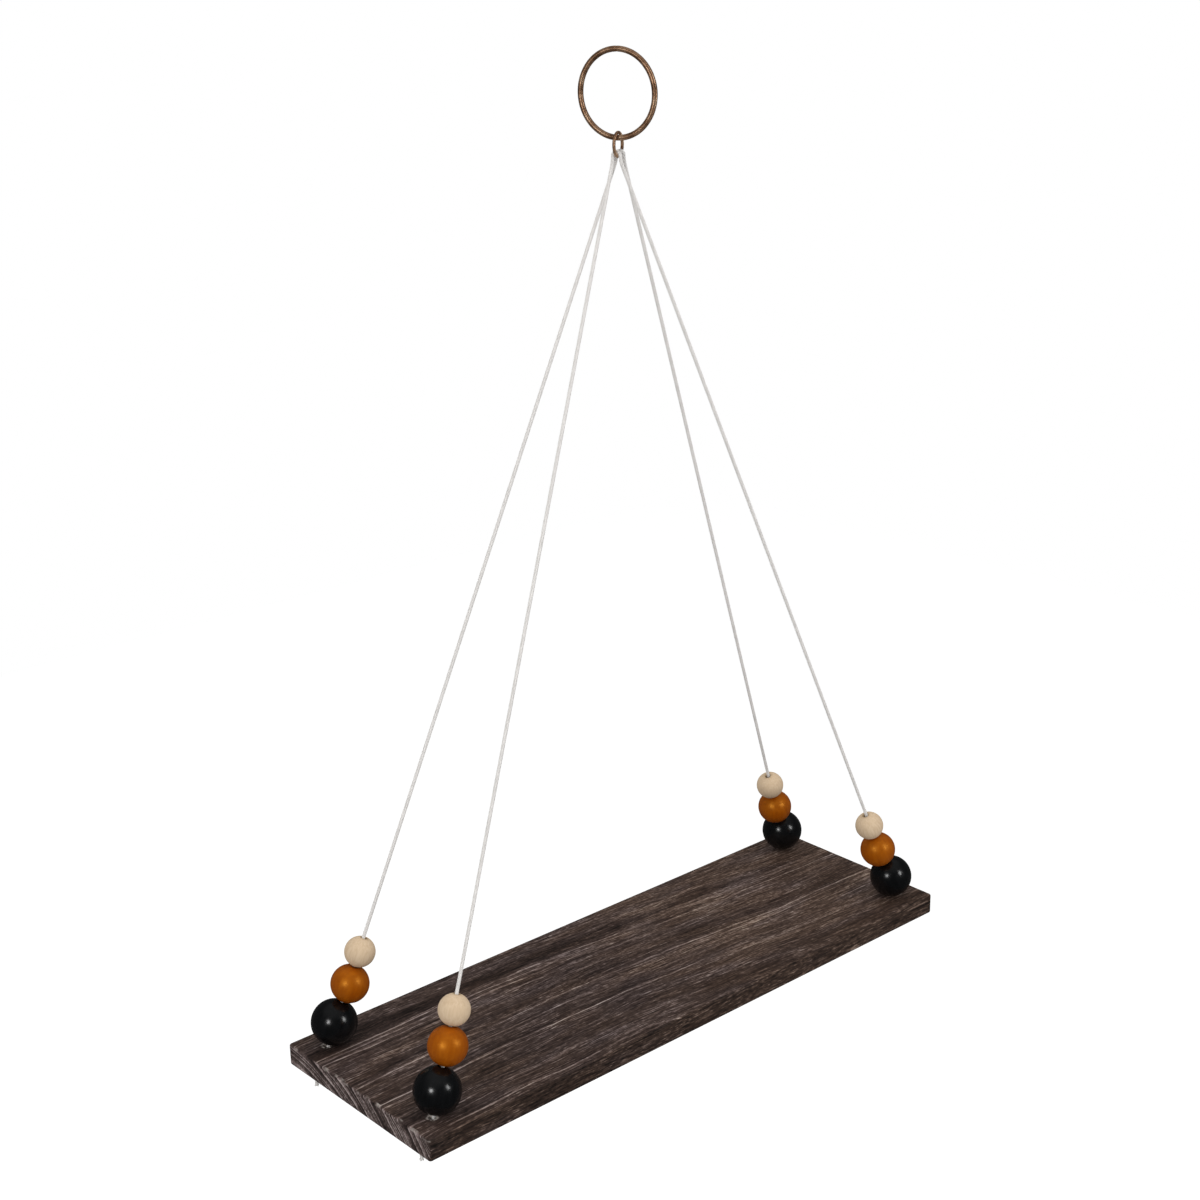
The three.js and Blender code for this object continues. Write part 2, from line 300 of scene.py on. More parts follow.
def stained_plank(tree):
    coordinates = add(tree, "ShaderNodeTexCoord").outputs["Object"]
    from_top = {"Vector": coordinates, "Location": (0, 0, -board_high.z / MM), "Scale": [1 / MM] * 3}
    place = add(tree, "ShaderNodeMapping", from_top)
    x, y, z = add(tree, "ShaderNodeSeparateXYZ", {0: place}).outputs

    # The grain bends towards the front on the right, and wanders
    bend_ends = {0: x, 1: bend_start, 2: bend_end, 3: 0, 4: bend_reach}
    bend = add(tree, "ShaderNodeMapRange", bend_ends, interpolation_type="SMOOTHSTEP")
    wide = stretched(tree, place, wide_wander_sizes)
    small = stretched(tree, place, small_wander_sizes, 2)
    half = board_width / MM / 2
    across = about(tree, 0, [(wide, wide_wander), (small, small_wander)], [(y, 1), (bend, 1)])
    share = summed(tree, 0.5, [(across, -0.5 / half)])
    grain = add(tree, "ShaderNodeCombineXYZ", {0: x, 1: across, 2: z})

    # Where each place lies: on the top, on an end, on a long edge, and how far to the right
    on_top = add(tree, "ShaderNodeMapRange", {0: z, 1: -skin, 2: -skin_full})
    far_x = add(tree, "ShaderNodeMath", {0: x}, operation="ABSOLUTE")
    end_x = board_length / MM / 2
    on_end = add(tree, "ShaderNodeMapRange", {0: far_x, 1: end_x - skin, 2: end_x - skin_full})
    far_y = add(tree, "ShaderNodeMath", {0: y}, operation="ABSOLUTE")
    on_edge = add(tree, "ShaderNodeMapRange", {0: far_y, 1: half - skin, 2: half - skin_full})
    to_right = add(tree, "ShaderNodeMapRange", {0: x, 1: right_start, 2: right_end})
    near_front = add(tree, "ShaderNodeMapRange", {0: share, 1: front_start_share, 2: front_end_share})

    # Growth rings, by their distance from the pith
    rise = {1: summed(tree, -pith_y, [(across, 1)]), 2: summed(tree, -pith_z, [(z, 1)])}
    from_pith = add(tree, "ShaderNodeCombineXYZ", rise)
    radius = add(tree, "ShaderNodeVectorMath", {0: from_pith}, operation="LENGTH").outputs["Value"]
    uneven_inputs = {"W": radius, "Scale": ring_unevenness_scale}
    uneven = add(tree, "ShaderNodeTexNoise", uneven_inputs, noise_dimensions="1D").outputs[0]
    turns = summed(tree, 0, [(radius, 1 / ring_spacing), (uneven, ring_unevenness)])
    ring_share = add(tree, "ShaderNodeMath", {0: turns}, operation="FRACT")
    rings = add(tree, "ShaderNodeValToRGB", {0: ring_share}, ring_stops)

    # Fibres, pores full of lime, and mottled wood, all long in the grain's direction
    marks = {name: stretched(tree, grain, *measures) for name, measures in grain_marks.items()}
    fibres, pores, mottle, zones = (marks[name] for name in ("fibres", "pores", "mottle", "zones"))

    # The long light and dark lines of the top
    lines = []
    for left, right in (
        (peaks(left_light_shares), peaks(right_light_shares)),
        (left_dark_shares, right_dark_shares),
    ):
        halves = [add(tree, "ShaderNodeValToRGB", {0: share}, stops) for stops in (left, right)]
        mixed = blended(tree, to_right, *halves)
        lines.append(add(tree, "ShaderNodeMath", {0: mixed, 1: on_top}, operation="MULTIPLY"))
    light_lines, dark_lines = lines
    gap_range = {0: marks["gaps"], 1: gap_low, 2: gap_high, 3: gap_strength, 4: 1}
    unbroken = add(tree, "ShaderNodeMapRange", gap_range)
    broken_lines = add(tree, "ShaderNodeMath", {0: light_lines, 1: unbroken}, operation="MULTIPLY")
    left_range = {0: x, 1: -end_x, 2: strong_line_end, 3: strong_line_gain, 4: 1}
    near_left = add(tree, "ShaderNodeMapRange", left_range)
    strong_lines = add(tree, "ShaderNodeMath", {0: broken_lines, 1: near_left}, operation="MULTIPLY")

    # Lime fills pores in some zones more than in others
    lime_level = summed(tree, 0, [(pores, 1), (zones, 0.5)])
    lime = add(tree, "ShaderNodeMapRange", {0: lime_level, 1: lime_start, 2: lime_full})

    # The tone of the long faces and of the ends, as weights of all these
    long_noises = [(fibres, 1.05), (marks["strokes"], 0.75), (mottle, 0.55), (zones, 0.15)]
    # The on_edge weight makes the front and back faces a little darker than the top: painted shade
    long_parts = [
        (rings, 0.1), (lime, 0.3), (strong_lines, 0.55), (dark_lines, -0.2),
        (on_edge, -0.1), (near_front, -0.03), (to_right, 0.07),
    ]
    long_tone = about(tree, long_level, long_noises, long_parts)
    end_tone = about(tree, end_level, [(mottle, 0.7), (fibres, 0.5), (zones, 0.6)], [(rings, 0.72)])
    tone = add(tree, "ShaderNodeMix", {"Factor": on_end, 2: long_tone, 3: end_tone}).outputs[0]

    # Two hues of the same stain: greyish mauve, and a warmer brown to the right and on the edges
    mauve = add(tree, "ShaderNodeValToRGB", {0: tone}, mauve_stops)
    brown = add(tree, "ShaderNodeValToRGB", {0: tone}, brown_stops)
    hue_parts = [(to_right, 0.4), (on_edge, 0.4), (on_end, -0.7)]
    hue_level = about(tree, warm_level, [(marks["hue_patches"], 2.4)], hue_parts)
    hue = add(tree, "ShaderNodeClamp", {0: hue_level})
    stained = blended(tree, hue, mauve, brown)
    bare = add(tree, "ShaderNodeAttribute", attribute_name="bare").outputs["Fac"]
    colour = blended(tree, bare, stained, bare_wood)
    height = summed(tree, 0, [(fibres, 1), (pores, -0.6), (lime, -0.4)])
    bump = add(tree, "ShaderNodeBump", {"Height": height, "Strength": 0.6, "Distance": 0.2 * MM})
    dark, pale = 0.2, 0.9
    smooth, rough = 0.62, 0.85
    roughness = add(tree, "ShaderNodeMapRange", {0: tone, 1: dark, 2: pale, 3: smooth, 4: rough})
    return {"Base Color": colour, "Roughness": roughness, "Normal": bump}


# Stained and limed softwood plank: dark brown, matte, with whitish lime left in its open pores
plank_finish = material("limed_stained_plank", stained_plank, Specular_IOR_Level=0.25)


# The range that a bead's streaks keep to, as noise values, and its middle
streak_low, streak_middle, streak_high = 0.3, 0.5, 0.7


def bead_grain(tree, length, breadth, detail=2):
    """Fine streaks along a bead's bore."""
    place = add(tree, "ShaderNodeAttribute", attribute_name="grain_place").outputs["Vector"]
    return stretched(tree, place, (breadth, breadth, length), detail)


def coated(tree, streaks, stops, smooth, rough):
    """A coat's colour, its roughness and the faint relief of the streaks under it."""
    colour = add(tree, "ShaderNodeValToRGB", {0: streaks}, stops)
    streak_range = {0: streaks, 1: streak_low, 2: streak_high, 3: smooth, 4: rough}
    roughness = add(tree, "ShaderNodeMapRange", streak_range)
    bump = add(tree, "ShaderNodeBump", {"Height": streaks, "Strength": 0.12, "Distance": 0.05 * MM})
    return {"Base Color": colour, "Roughness": roughness, "Normal": bump}


def black_lacquer(tree):
    streaks = bead_grain(tree, length=14, breadth=2.5, detail=1)
    stops = [(streak_low, "#050607"), (streak_high, "#090a0c")]
    return coated(tree, streaks, stops, smooth=0.2, rough=0.25)


# Black lacquer on turned wood: near black and glossy, with the grain faintly telegraphing through
black_finish = material("black_lacquer", black_lacquer, Specular_IOR_Level=0.42)


def amber_paint(tree):
    streaks = bead_grain(tree, length=16, breadth=2.6)
    stops = [(streak_low, "#984702"), (streak_middle, "#9f4d02"), (streak_high, "#a65303")]
    coat = coated(tree, streaks, stops, smooth=0.38, rough=0.42)
    mouth = add(tree, "ShaderNodeAttribute", attribute_name="mouth").outputs["Fac"]
    # Darker and redder towards the bore
    coat["Base Color"] = blended(tree, mouth, coat["Base Color"], "#5e2002")
    return coat


# Amber pearl paint on turned wood: a satin coat with broad warm yellow highlights, darker and
# redder round the bore
amber_finish = material(
    "amber_pearl_paint", amber_paint,
    Metallic=0.15, IOR=1.6, Specular_IOR_Level=1, Specular_Tint=(1, 0.6, 0.1, 1),
)


def bare_beech(tree):
    streaks = bead_grain(tree, length=12, breadth=1.1)
    flecks = bead_grain(tree, length=2, breadth=0.4, detail=1)
    stops = [(streak_low, "#c5ac8e"), (streak_middle, "#cbb395"), (streak_high, "#d0b99c")]
    colour = add(tree, "ShaderNodeValToRGB", {0: streaks}, stops)
    fleck_start, fleck_full, fleck_strength = 0.66, 0.78, 0.22
    fleck_range = {0: flecks, 1: fleck_start, 2: fleck_full, 3: 0, 4: fleck_strength}
    fleck_amount = add(tree, "ShaderNodeMapRange", fleck_range)
    flecked = blended(tree, fleck_amount, colour, "#ab8f70")
    mouth = add(tree, "ShaderNodeAttribute", attribute_name="mouth").outputs["Fac"]
    # Darker towards the bore
    darker_round_bore = blended(tree, mouth, flecked, "#b49c7c")
    bump = add(tree, "ShaderNodeBump", {"Height": flecks, "Strength": 0.25, "Distance": 0.05 * MM})
    return {"Base Color": darker_round_bore, "Normal": bump}


# Bare turned beech: pale pinkish beige, dry and matte, with fine darker flecks
natural_finish = material("bare_turned_beech", bare_beech, Roughness=0.75, Specular_IOR_Level=0.25)


def cotton(tree):
    place = add(tree, "ShaderNodeTexCoord").outputs["Object"]
    fuzz_size, patch_size = 0.25 * MM, 6 * MM
    fuzz = stretched(tree, place, [fuzz_size] * 3)
    patches = stretched(tree, place, [patch_size] * 3)
    colour = add(tree, "ShaderNodeValToRGB", {0: patches}, [(0.3, "#dad7d4"), (0.7, "#e3e0dd")])
    bump = add(tree, "ShaderNodeBump", {"Height": fuzz, "Strength": 0.3, "Distance": 0.03 * MM})
    return {"Base Color": colour, "Normal": bump}


# Braided white cotton cord: near white and matte, with a faint fuzz
cord_finish = material("braided_cotton", cotton, Roughness=0.85, Sheen_Weight=0.2, Specular_IOR_Level=0.2)


def antique_brass(tree):
    place = add(tree, "ShaderNodeTexCoord").outputs["Object"]
    patch_size = 7 * MM
    patches = stretched(tree, place, [patch_size] * 3, 2)
    stops = [(0.35, "#8d6a50"), (0.5, "#b98f6f"), (0.68, "#e4c09e")]
    colour = add(tree, "ShaderNodeValToRGB", {0: patches}, stops)
    patch_low, patch_high = 0.35, 0.7
    rough, smooth = 0.47, 0.42
    patch_range = {0: patches, 1: patch_low, 2: patch_high, 3: rough, 4: smooth}
    roughness = add(tree, "ShaderNodeMapRange", patch_range)
    along = add(tree, "ShaderNodeAttribute", attribute_name="along").outputs["Vector"]
    tangent = add(
        tree, "ShaderNodeVectorTransform", {0: along},
        vector_type="VECTOR", convert_from="OBJECT", convert_to="WORLD",
    )
    return {"Base Color": colour, "Roughness": roughness, "Tangent": tangent}


# Antique brass: wire under a brown patina, brighter where it has rubbed off, and polished round and
# round, which draws its highlights out into lines along the wire
brass_finish = material("antique_brass", antique_brass, Metallic=0.85, Anisotropic=0.8)


# Rings

def swept(points, wire_radius, sides, closed):
    """A round wire along points: its vertices, its faces and its direction at each vertex."""
    count = len(points)
    vertices, faces, directions = [], [], []
    for index, point in enumerate(points):
        before = points[index - 1] if closed or index else point
        after = points[(index + 1) % count] if closed or index < count - 1 else point
        tangent = (after - before).normalized()
        side = tangent.orthogonal() if index == 0 else side - tangent * side.dot(tangent)
        side.normalize()
        other = tangent.cross(side)
        radius = wire_radius(index)
        for step in range(sides):
            angle = 2 * math.pi * step / sides
            vertices.append(point + radius * (math.cos(angle) * side + math.sin(angle) * other))
            directions.append(tangent)
    spans = count if closed else count - 1
    for index in range(spans):
        here, ahead = index * sides, ((index + 1) % count) * sides
        for step in range(sides):
            beside = (step + 1) % sides
            faces.append((here + step, here + beside, ahead + beside, ahead + step))
    if not closed:
        faces.append(tuple(range(sides)))
        faces.append(tuple(range((count - 1) * sides, count * sides)))
    return vertices, faces, directions


def ring_point(center, path_radius, turn, angle):
    along = Vector((math.cos(turn), math.sin(turn), 0))
    return center + path_radius * (math.cos(angle) * along + math.sin(angle) * UP)


def make_large_ring():
    steps, sides = 288, 24
    top_index = steps / 4
    length = 2 * math.pi * ring_path_radius
    seam_depth = 0.14 * MM
    seam_reach = 0.45 * MM

    def wire_radius(index):
        """Slimmer in the seam where the wire's ends meet, at the top."""
        from_top = abs(index - top_index)
        from_seam = min(from_top, steps - from_top) * length / steps
        return ring_wire / 2 - seam_depth * math.exp(-((from_seam / seam_reach) ** 2))

    angles = [2 * math.pi * index / steps for index in range(steps)]
    points = [ring_point(ring_center, ring_path_radius, ring_turn, angle) for angle in angles]
    vertices, faces, directions = swept(points, wire_radius, sides, True)
    piece = mesh_object("large_ring", vertices, faces, brass_finish, {"along": directions})
    place_piece(piece, "ring", "aged_brass", "hanging_ring")


def make_small_ring():
    steps, sides = 120, 20
    slit_angle = small_ring_slit / small_ring_path_radius
    end_reach = 0.35 * MM
    end_ease = 0.3 * MM
    points = []
    for index in range(steps + 1):
        angle = small_ring_slit_angle + slit_angle / 2 + (2 * math.pi - slit_angle) * index / steps
        points.append(ring_point(small_ring_center, small_ring_path_radius, small_ring_turn, angle))

    def wire_radius(index):
        """Slimmer at the wire's two ends, which are eased."""
        from_end = min(index, steps - index) * 2 * math.pi * small_ring_path_radius / steps
        return small_ring_wire / 2 - end_ease * max(0, 1 - from_end / end_reach)

    vertices, faces, directions = swept(points, wire_radius, sides, False)
    piece = mesh_object("small_ring_wire", vertices, faces, brass_finish, {"along": directions})
    place_piece(piece, "link", "aged_brass", "small_ring")


# Cords

def strand(side_x, side_y):
    """The places that a strand passes, from the small ring's wire to the underside of the board."""
    on_wire = along_wire * (side_y * cord_spacing / 2)
    height = math.sqrt(small_ring_path_radius ** 2 - (cord_spacing / 2) ** 2)
    on_wire.z = small_ring_center.z - height
    leaving = on_wire - behind_wire * (side_x * bight_radius)
    shoulder = leaving - UP * cord_corner_reach
    hole_x = side_x * (board_length / 2 - hole_end_inset)
    hole_y = side_y * (board_width / 2 - hole_side_inset)
    hole = Vector((hole_x, hole_y, board_high.z))
    outwards = (hole - shoulder) * Vector((1, 1, 0))
    outwards.normalize()
    mouth = hole - outwards * hole_lean
    end = hole + outwards * hole_lean
    end.z = board_low.z
    return on_wire, leaving, shoulder, mouth, end


def bezier(controls, steps):
    """Points of a Bezier curve, ends included."""
    points = []
    for index in range(steps + 1):
        level = [Vector(c) for c in controls]
        while len(level) > 1:
            level = [a.lerp(b, index / steps) for a, b in zip(level, level[1:])]
        points.append(level[0])
    return points


def corner(before, at, after):
    """A rounded corner of a cord, in the middle of three places."""
    steps = 10
    start = at + (before - at).normalized() * cord_corner_reach
    end = at + (after - at).normalized() * cord_corner_reach
    return bezier([start, at, end], steps)


def strand_points(side_x, side_y):
    """From the small ring's wire down to the middle of the hole."""
    _, leaving, shoulder, mouth, end = strand(side_x, side_y)
    return corner(leaving, shoulder, mouth) + corner(shoulder, mouth, end) + [mouth.lerp(end, 0.5)]


def bight_points(side_y):
    """Half a turn over the small ring's wire, from the left strand to the right one."""
    on_wire = strand(-1, side_y)[0]
    steps = 24
    angles = [math.pi * index / steps for index in range(1, steps)]
    return [
        on_wire + bight_radius * (behind_wire * math.cos(angle) + UP * math.sin(angle)) for angle in angles
    ]


def knot_points(side_x, side_y):
    """From the middle of the hole through the knot to the end of its tail."""
    entry_steps, steps_per_turn, tail_steps = 16, 32, 20
    mouth, end = strand(side_x, side_y)[3:]
    step = 2 * cord_radius + knot_gap
    bottom = -(cord_radius + knot_turns * step)
    entry = [(0, 0, bottom + step), (0, 0, bottom), (step, -step / 2, bottom), (step, 0, bottom)]
    local = bezier(entry, entry_steps)
    winding_steps = round(knot_turns * steps_per_turn)
    for index in range(1, winding_steps + 1):
        turn = knot_turns * index / winding_steps
        angle = 2 * math.pi * turn
        local.append(Vector((step * math.cos(angle), step * math.sin(angle), bottom + step * turn)))
    leaving = local[-1]
    last_angle = 2 * math.pi * knot_turns
    aside = leaving + Vector((-math.sin(last_angle), math.cos(last_angle), 0)) * knot_tail_reach
    local += bezier([leaving, aside, aside, aside - UP * knot_tail_drop], tail_steps)[1:]
    turned = Matrix.Rotation(right_knot_turn if side_x > 0 else left_knot_turn, 3, "Z")
    top = end - UP * rest_gap
    return [mouth.lerp(end, 0.5), end] + [top + turned @ point for point in local]


# Braid: strands wind round the cord both ways and pass over and under each other
strand_count = 8
braid_pitch = 10 * MM
waves_per_pitch = 4
steps_per_wave = 4
fray_spread = 1.45
core_share = 0.8
tube_sides = 6

# The strands bulge past the cord's nominal size, and less where a knot pulls it tight
braid_bulge = 0.2 * MM
knotted_bulge = 0.18 * MM
strand_thickness_share = 0.13
strand_width_share = 0.487

# Over this length at its end a strand spreads: hardly any inside a hole, more at a knot's tail
hidden_fray = 0.01 * MM
tail_fray = 1.6 * MM


def braid_tree():
    """Geometry nodes that braid strands round a core along a path."""
    tree = bpy.data.node_groups.new("braid", "GeometryNodeTree")
    sockets = tree.interface
    sockets.new_socket("Path", in_out="INPUT", socket_type="NodeSocketGeometry")
    for name in ("Cord Radius", "Strand Thickness", "Strand Width", "Pitch", "Step", "Fray Length"):
        sockets.new_socket(name, in_out="INPUT", socket_type="NodeSocketFloat")
    sockets.new_socket("Strands", in_out="INPUT", socket_type="NodeSocketInt")
    sockets.new_socket("Finish", in_out="INPUT", socket_type="NodeSocketMaterial")
    sockets.new_socket("Braid", in_out="OUTPUT", socket_type="NodeSocketGeometry")

    given = add(tree, "NodeGroupInput").outputs
    path = add(tree, "GeometryNodeMeshToCurve", {0: given["Path"]})
    even = add(tree, "GeometryNodeResampleCurve", {"Curve": path, "Length": given["Step"]}, mode="LENGTH")
    copied = {"Geometry": even, "Amount": given["Strands"]}
    copies = add(tree, "GeometryNodeDuplicateElements", copied, domain="SPLINE")
    number = copies.outputs["Duplicate Index"]
    odd = add(tree, "ShaderNodeMath", {0: number, 1: 2}, operation="MODULO")
    sense = add(tree, "ShaderNodeMath", {0: odd, 1: -2, 2: 1}, operation="MULTIPLY_ADD")
    pair = add(tree, "ShaderNodeMath", {0: number, 1: 0.5}, operation="MULTIPLY")
    pair_number = add(tree, "ShaderNodeMath", {0: pair}, operation="FLOOR")
    half_count = add(tree, "ShaderNodeMath", {0: given["Strands"], 1: 0.5}, operation="MULTIPLY")
    share = add(tree, "ShaderNodeMath", {0: pair_number, 1: half_count}, operation="DIVIDE")
    along = add(tree, "GeometryNodeSplineParameter").outputs["Length"]
    turns = add(tree, "ShaderNodeMath", {0: along, 1: given["Pitch"]}, operation="DIVIDE")
    signed = add(tree, "ShaderNodeMath", {0: turns, 1: sense, 2: share}, operation="MULTIPLY_ADD")
    angle = add(tree, "ShaderNodeMath", {0: signed, 1: 2 * math.pi}, operation="MULTIPLY")

    normal = add(tree, "GeometryNodeInputNormal")
    tangent = add(tree, "GeometryNodeInputTangent")
    binormal = add(tree, "ShaderNodeVectorMath", {0: tangent, 1: normal}, operation="CROSS_PRODUCT")
    cosine = add(tree, "ShaderNodeMath", {0: angle}, operation="COSINE")
    sine = add(tree, "ShaderNodeMath", {0: angle}, operation="SINE")
    part_a = add(tree, "ShaderNodeVectorMath", {0: normal, "Scale": cosine}, operation="SCALE")
    part_b = add(tree, "ShaderNodeVectorMath", {0: binormal, "Scale": sine}, operation="SCALE")
    radial = add(tree, "ShaderNodeVectorMath", {0: part_a, 1: part_b}, operation="ADD")

    # Over and under: the two senses ride up and down in turn
    wave_turn = 2 * math.pi * waves_per_pitch
    wave_angle = add(tree, "ShaderNodeMath", {0: turns, 1: wave_turn}, operation="MULTIPLY")
    wave = add(tree, "ShaderNodeMath", {0: wave_angle}, operation="COSINE")
    wave_signed = add(tree, "ShaderNodeMath", {0: wave, 1: sense}, operation="MULTIPLY")
    lift = add(tree, "ShaderNodeMath", {0: wave_signed, 1: given["Strand Thickness"]}, operation="MULTIPLY")
    inset = {0: given["Strand Thickness"], 1: -2, 2: given["Cord Radius"]}
    middle = add(tree, "ShaderNodeMath", inset, operation="MULTIPLY_ADD")
    reach = add(tree, "ShaderNodeMath", {0: middle, 1: lift}, operation="ADD")

    # The strands spread at a cut end
    whole = add(tree, "GeometryNodeSplineLength").outputs["Length"]
    left = add(tree, "ShaderNodeMath", {0: whole, 1: along}, operation="SUBTRACT")
    fray = add(tree, "ShaderNodeMapRange", {0: left, 1: 0, 2: given["Fray Length"], 3: fray_spread, 4: 1})
    spread = add(tree, "ShaderNodeMath", {0: reach, 1: fray}, operation="MULTIPLY")

    kept = add(tree, "GeometryNodeCaptureAttribute", {0: copies.outputs["Geometry"]}, domain="POINT")
    kept.capture_items.new("VECTOR", "Radial")
    tree.links.new(radial.outputs[0], kept.inputs["Radial"])
    offset = add(tree, "ShaderNodeVectorMath", {0: radial, "Scale": spread}, operation="SCALE")
    moved = add(tree, "GeometryNodeSetPosition", {0: kept.outputs[0], "Offset": offset})
    outwards = {0: moved, "Normal": kept.outputs["Radial"]}
    facing = add(tree, "GeometryNodeSetCurveNormal", outwards, mode="FREE")
    circle = add(tree, "GeometryNodeCurvePrimitiveCircle", {"Resolution": tube_sides, "Radius": 1})
    half_sizes = {0: given["Strand Thickness"], 1: given["Strand Width"], 2: 1}
    oval_size = add(tree, "ShaderNodeCombineXYZ", half_sizes)
    oval = add(tree, "GeometryNodeTransform", {0: circle, "Scale": oval_size})
    tube = {"Curve": facing, "Profile Curve": oval, "Fill Caps": True}
    strands = add(tree, "GeometryNodeCurveToMesh", tube)

    # A plain core fills the middle, in longer steps
    core_step = add(tree, "ShaderNodeMath", {0: given["Step"], 1: 2}, operation="MULTIPLY")
    core_path = add(tree, "GeometryNodeResampleCurve", {"Curve": path, "Length": core_step}, mode="LENGTH")
    core_radius = add(tree, "ShaderNodeMath", {0: given["Cord Radius"], 1: core_share}, operation="MULTIPLY")
    core_sizes = {"Resolution": tube_sides, "Radius": core_radius}
    core_profile = add(tree, "GeometryNodeCurvePrimitiveCircle", core_sizes)
    core_tube = {"Curve": core_path, "Profile Curve": core_profile, "Fill Caps": True}
    core = add(tree, "GeometryNodeCurveToMesh", core_tube)
    joined = add(tree, "GeometryNodeJoinGeometry", {0: core})
    tree.links.new(strands.outputs[0], joined.inputs[0])
    smooth = add(tree, "GeometryNodeSetShadeSmooth", {0: joined})
    real = add(tree, "GeometryNodeRealizeInstances", {0: smooth})
    finished = add(tree, "GeometryNodeSetMaterial", {0: real, "Material": given["Finish"]})
    add(tree, "NodeGroupOutput", {0: finished})
    return tree


def braided(name, points, tree, bulge, fray_length):
    """A braided cord along points, baked to a plain mesh."""
    reach = cord_radius + bulge
    path = bpy.data.meshes.new(name + "_path")
    path.from_pydata([tuple(p) for p in points], [(i, i + 1) for i in range(len(points) - 1)], [])
    holder = new_object(name + "_path", path)
    modifier = holder.modifiers.new("braid", "NODES")
    modifier.node_group = tree
    values = {
        "Cord Radius": reach,
        "Strand Thickness": strand_thickness_share * reach,
        "Strand Width": strand_width_share * reach,
        "Pitch": braid_pitch,
        "Step": braid_pitch / waves_per_pitch / steps_per_wave,
        "Fray Length": fray_length,
        "Strands": strand_count,
        "Finish": cord_finish,
    }
    for item in tree.interface.items_tree:
        if item.in_out == "INPUT" and item.name in values:
            modifier[item.identifier] = values[item.name]
    evaluated = holder.evaluated_get(bpy.context.evaluated_depsgraph_get())
    mesh = bpy.data.meshes.new_from_object(evaluated)
    mesh.name = name
    holder.modifiers.remove(modifier)
    bpy.data.objects.remove(holder)
    return new_object(name, mesh)


def make_cords():
    tree = braid_tree()
    for row, side_y in (("front", -1), ("back", 1)):
        points = strand_points(-1, side_y)[::-1] + bight_points(side_y) + strand_points(1, side_y)
        piece = braided(f"{row}_braided_cord", points, tree, braid_bulge, hidden_fray)
        place_piece(piece, "shelf", "white_cord", f"{row}_cord")
    for name, side_x, side_y in corners:
        points = knot_points(side_x, side_y)
        piece = braided(f"stopper_knot_{name}", points, tree, knotted_bulge, tail_fray)
        place_piece(piece, "shelf", "white_cord", f"knot_{name}")


# Beads

def bead_profile(diameter, bore):
    """Half section of a bead, as distances from its axis and along it: bore, chamfer and ball."""
    arc_steps, wall_steps = 44, 6
    across_share, along_share = 0.35, 0.3
    rim = bore / 2 + bore_chamfer
    rim_angle = math.asin(rim / (diameter / 2))
    rim_height = diameter / 2 * math.cos(rim_angle)
    points = []
    for index in range(arc_steps + 1):
        angle = rim_angle + (math.pi - 2 * rim_angle) * index / arc_steps
        points.append((diameter / 2 * math.sin(angle), -diameter / 2 * math.cos(angle)))
    inner = rim_height - bore_chamfer
    bend_distance = bore / 2 + across_share * bore_chamfer
    bend_height = rim_height - along_share * bore_chamfer
    points.append((bend_distance, bend_height))
    for index in range(wall_steps + 1):
        points.append((bore / 2, inner - 2 * inner * index / wall_steps))
    points.append((bend_distance, -bend_height))
    return points


# How far from the bore the finish is darker, and how far apart the grains of two beads can lie
mouth_reach = 3.2 * MM
grain_shift = 40


def make_bead(kind, name, side_x, side_y, finish, slot):
    """A turned bead, bored along its strand, with its grain at random."""
    sizes = bead_kinds[kind]
    node_name = f"{kind}_bead_{name}"
    low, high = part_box(node_name)
    center = (low + high) / 2
    shoulder, mouth = strand(side_x, side_y)[2:4]
    axis = (shoulder - mouth).normalized()
    turned = UP.rotation_difference(axis).to_matrix()
    draw = random.Random(node_name)
    spin = Matrix.Rotation(draw.uniform(0, 2 * math.pi), 3, "Z")
    sides = 64
    profile = bead_profile(sizes["diameter"], sizes["bore"])
    vertices, places, mouths, faces = [], [], [], []
    shift = Vector([draw.uniform(-grain_shift, grain_shift) for _ in range(3)])
    for step in range(sides):
        angle = 2 * math.pi * step / sides
        for distance, height in profile:
            local = Vector((distance * math.cos(angle), distance * math.sin(angle), height))
            vertices.append(center + turned @ spin @ local)
            places.append(local / MM + shift)
            mouths.append(max(0, 1 - (distance - sizes["bore"] / 2) / mouth_reach) ** 2)
    count = len(profile)
    for step in range(sides):
        here, ahead = step * count, ((step + 1) % sides) * count
        for index in range(count):
            above = (index + 1) % count
            faces.append((here + index, ahead + index, ahead + above, here + above))
    attributes = {"grain_place": places, "mouth": mouths}
    piece = mesh_object(f"{kind}_turned_bead_{name}", vertices, faces, finish, attributes)
    place_piece(piece, f"{kind}_{name}", slot, node_name)


def make_beads():
    finishes = {
        "black": (black_finish, "black_lacquered_wood"),
        "amber": (amber_finish, "amber_stained_wood"),
        "natural": (natural_finish, "natural_wood"),
    }
    for name, side_x, side_y in corners:
        for kind, (finish, slot) in finishes.items():
            make_bead(kind, name, side_x, side_y, finish, slot)


# Plank

grid_cell = 2 * MM
edge_cell = 0.5 * MM
corner_cell = 1.17 * MM
wall_cell = 2.4 * MM
hole_cells = 3
rim_ease = 0.4 * MM

# How round each ring of faces is from the square of the grid to the hole on top, and back below
top_round_shares = (0.3, 0.55, 0.75, 0.9, 1)
bottom_round_shares = (1, 0.7, 0.35)

# The stain is chipped off round the holes, and worn here and there along the arrises of the ends
chip_reach = 1.7 * MM
chip_size, chip_strength, chip_level = 1.5 * MM, 3.2, 0.22
wear_size, wear_strength, wear_level = 5 * MM, 1.2, -0.2

# The plank isn't quite flat
wave_height = 0.07 * MM
wave_length, wave_width = 60 * MM, 22 * MM


def spaced(start, end, cell):
    """Evenly spaced places after start, up to end, about a cell apart."""
    steps = max(1, round((end - start) / cell))
    return [start + (end - start) * index / steps for index in range(1, steps + 1)]


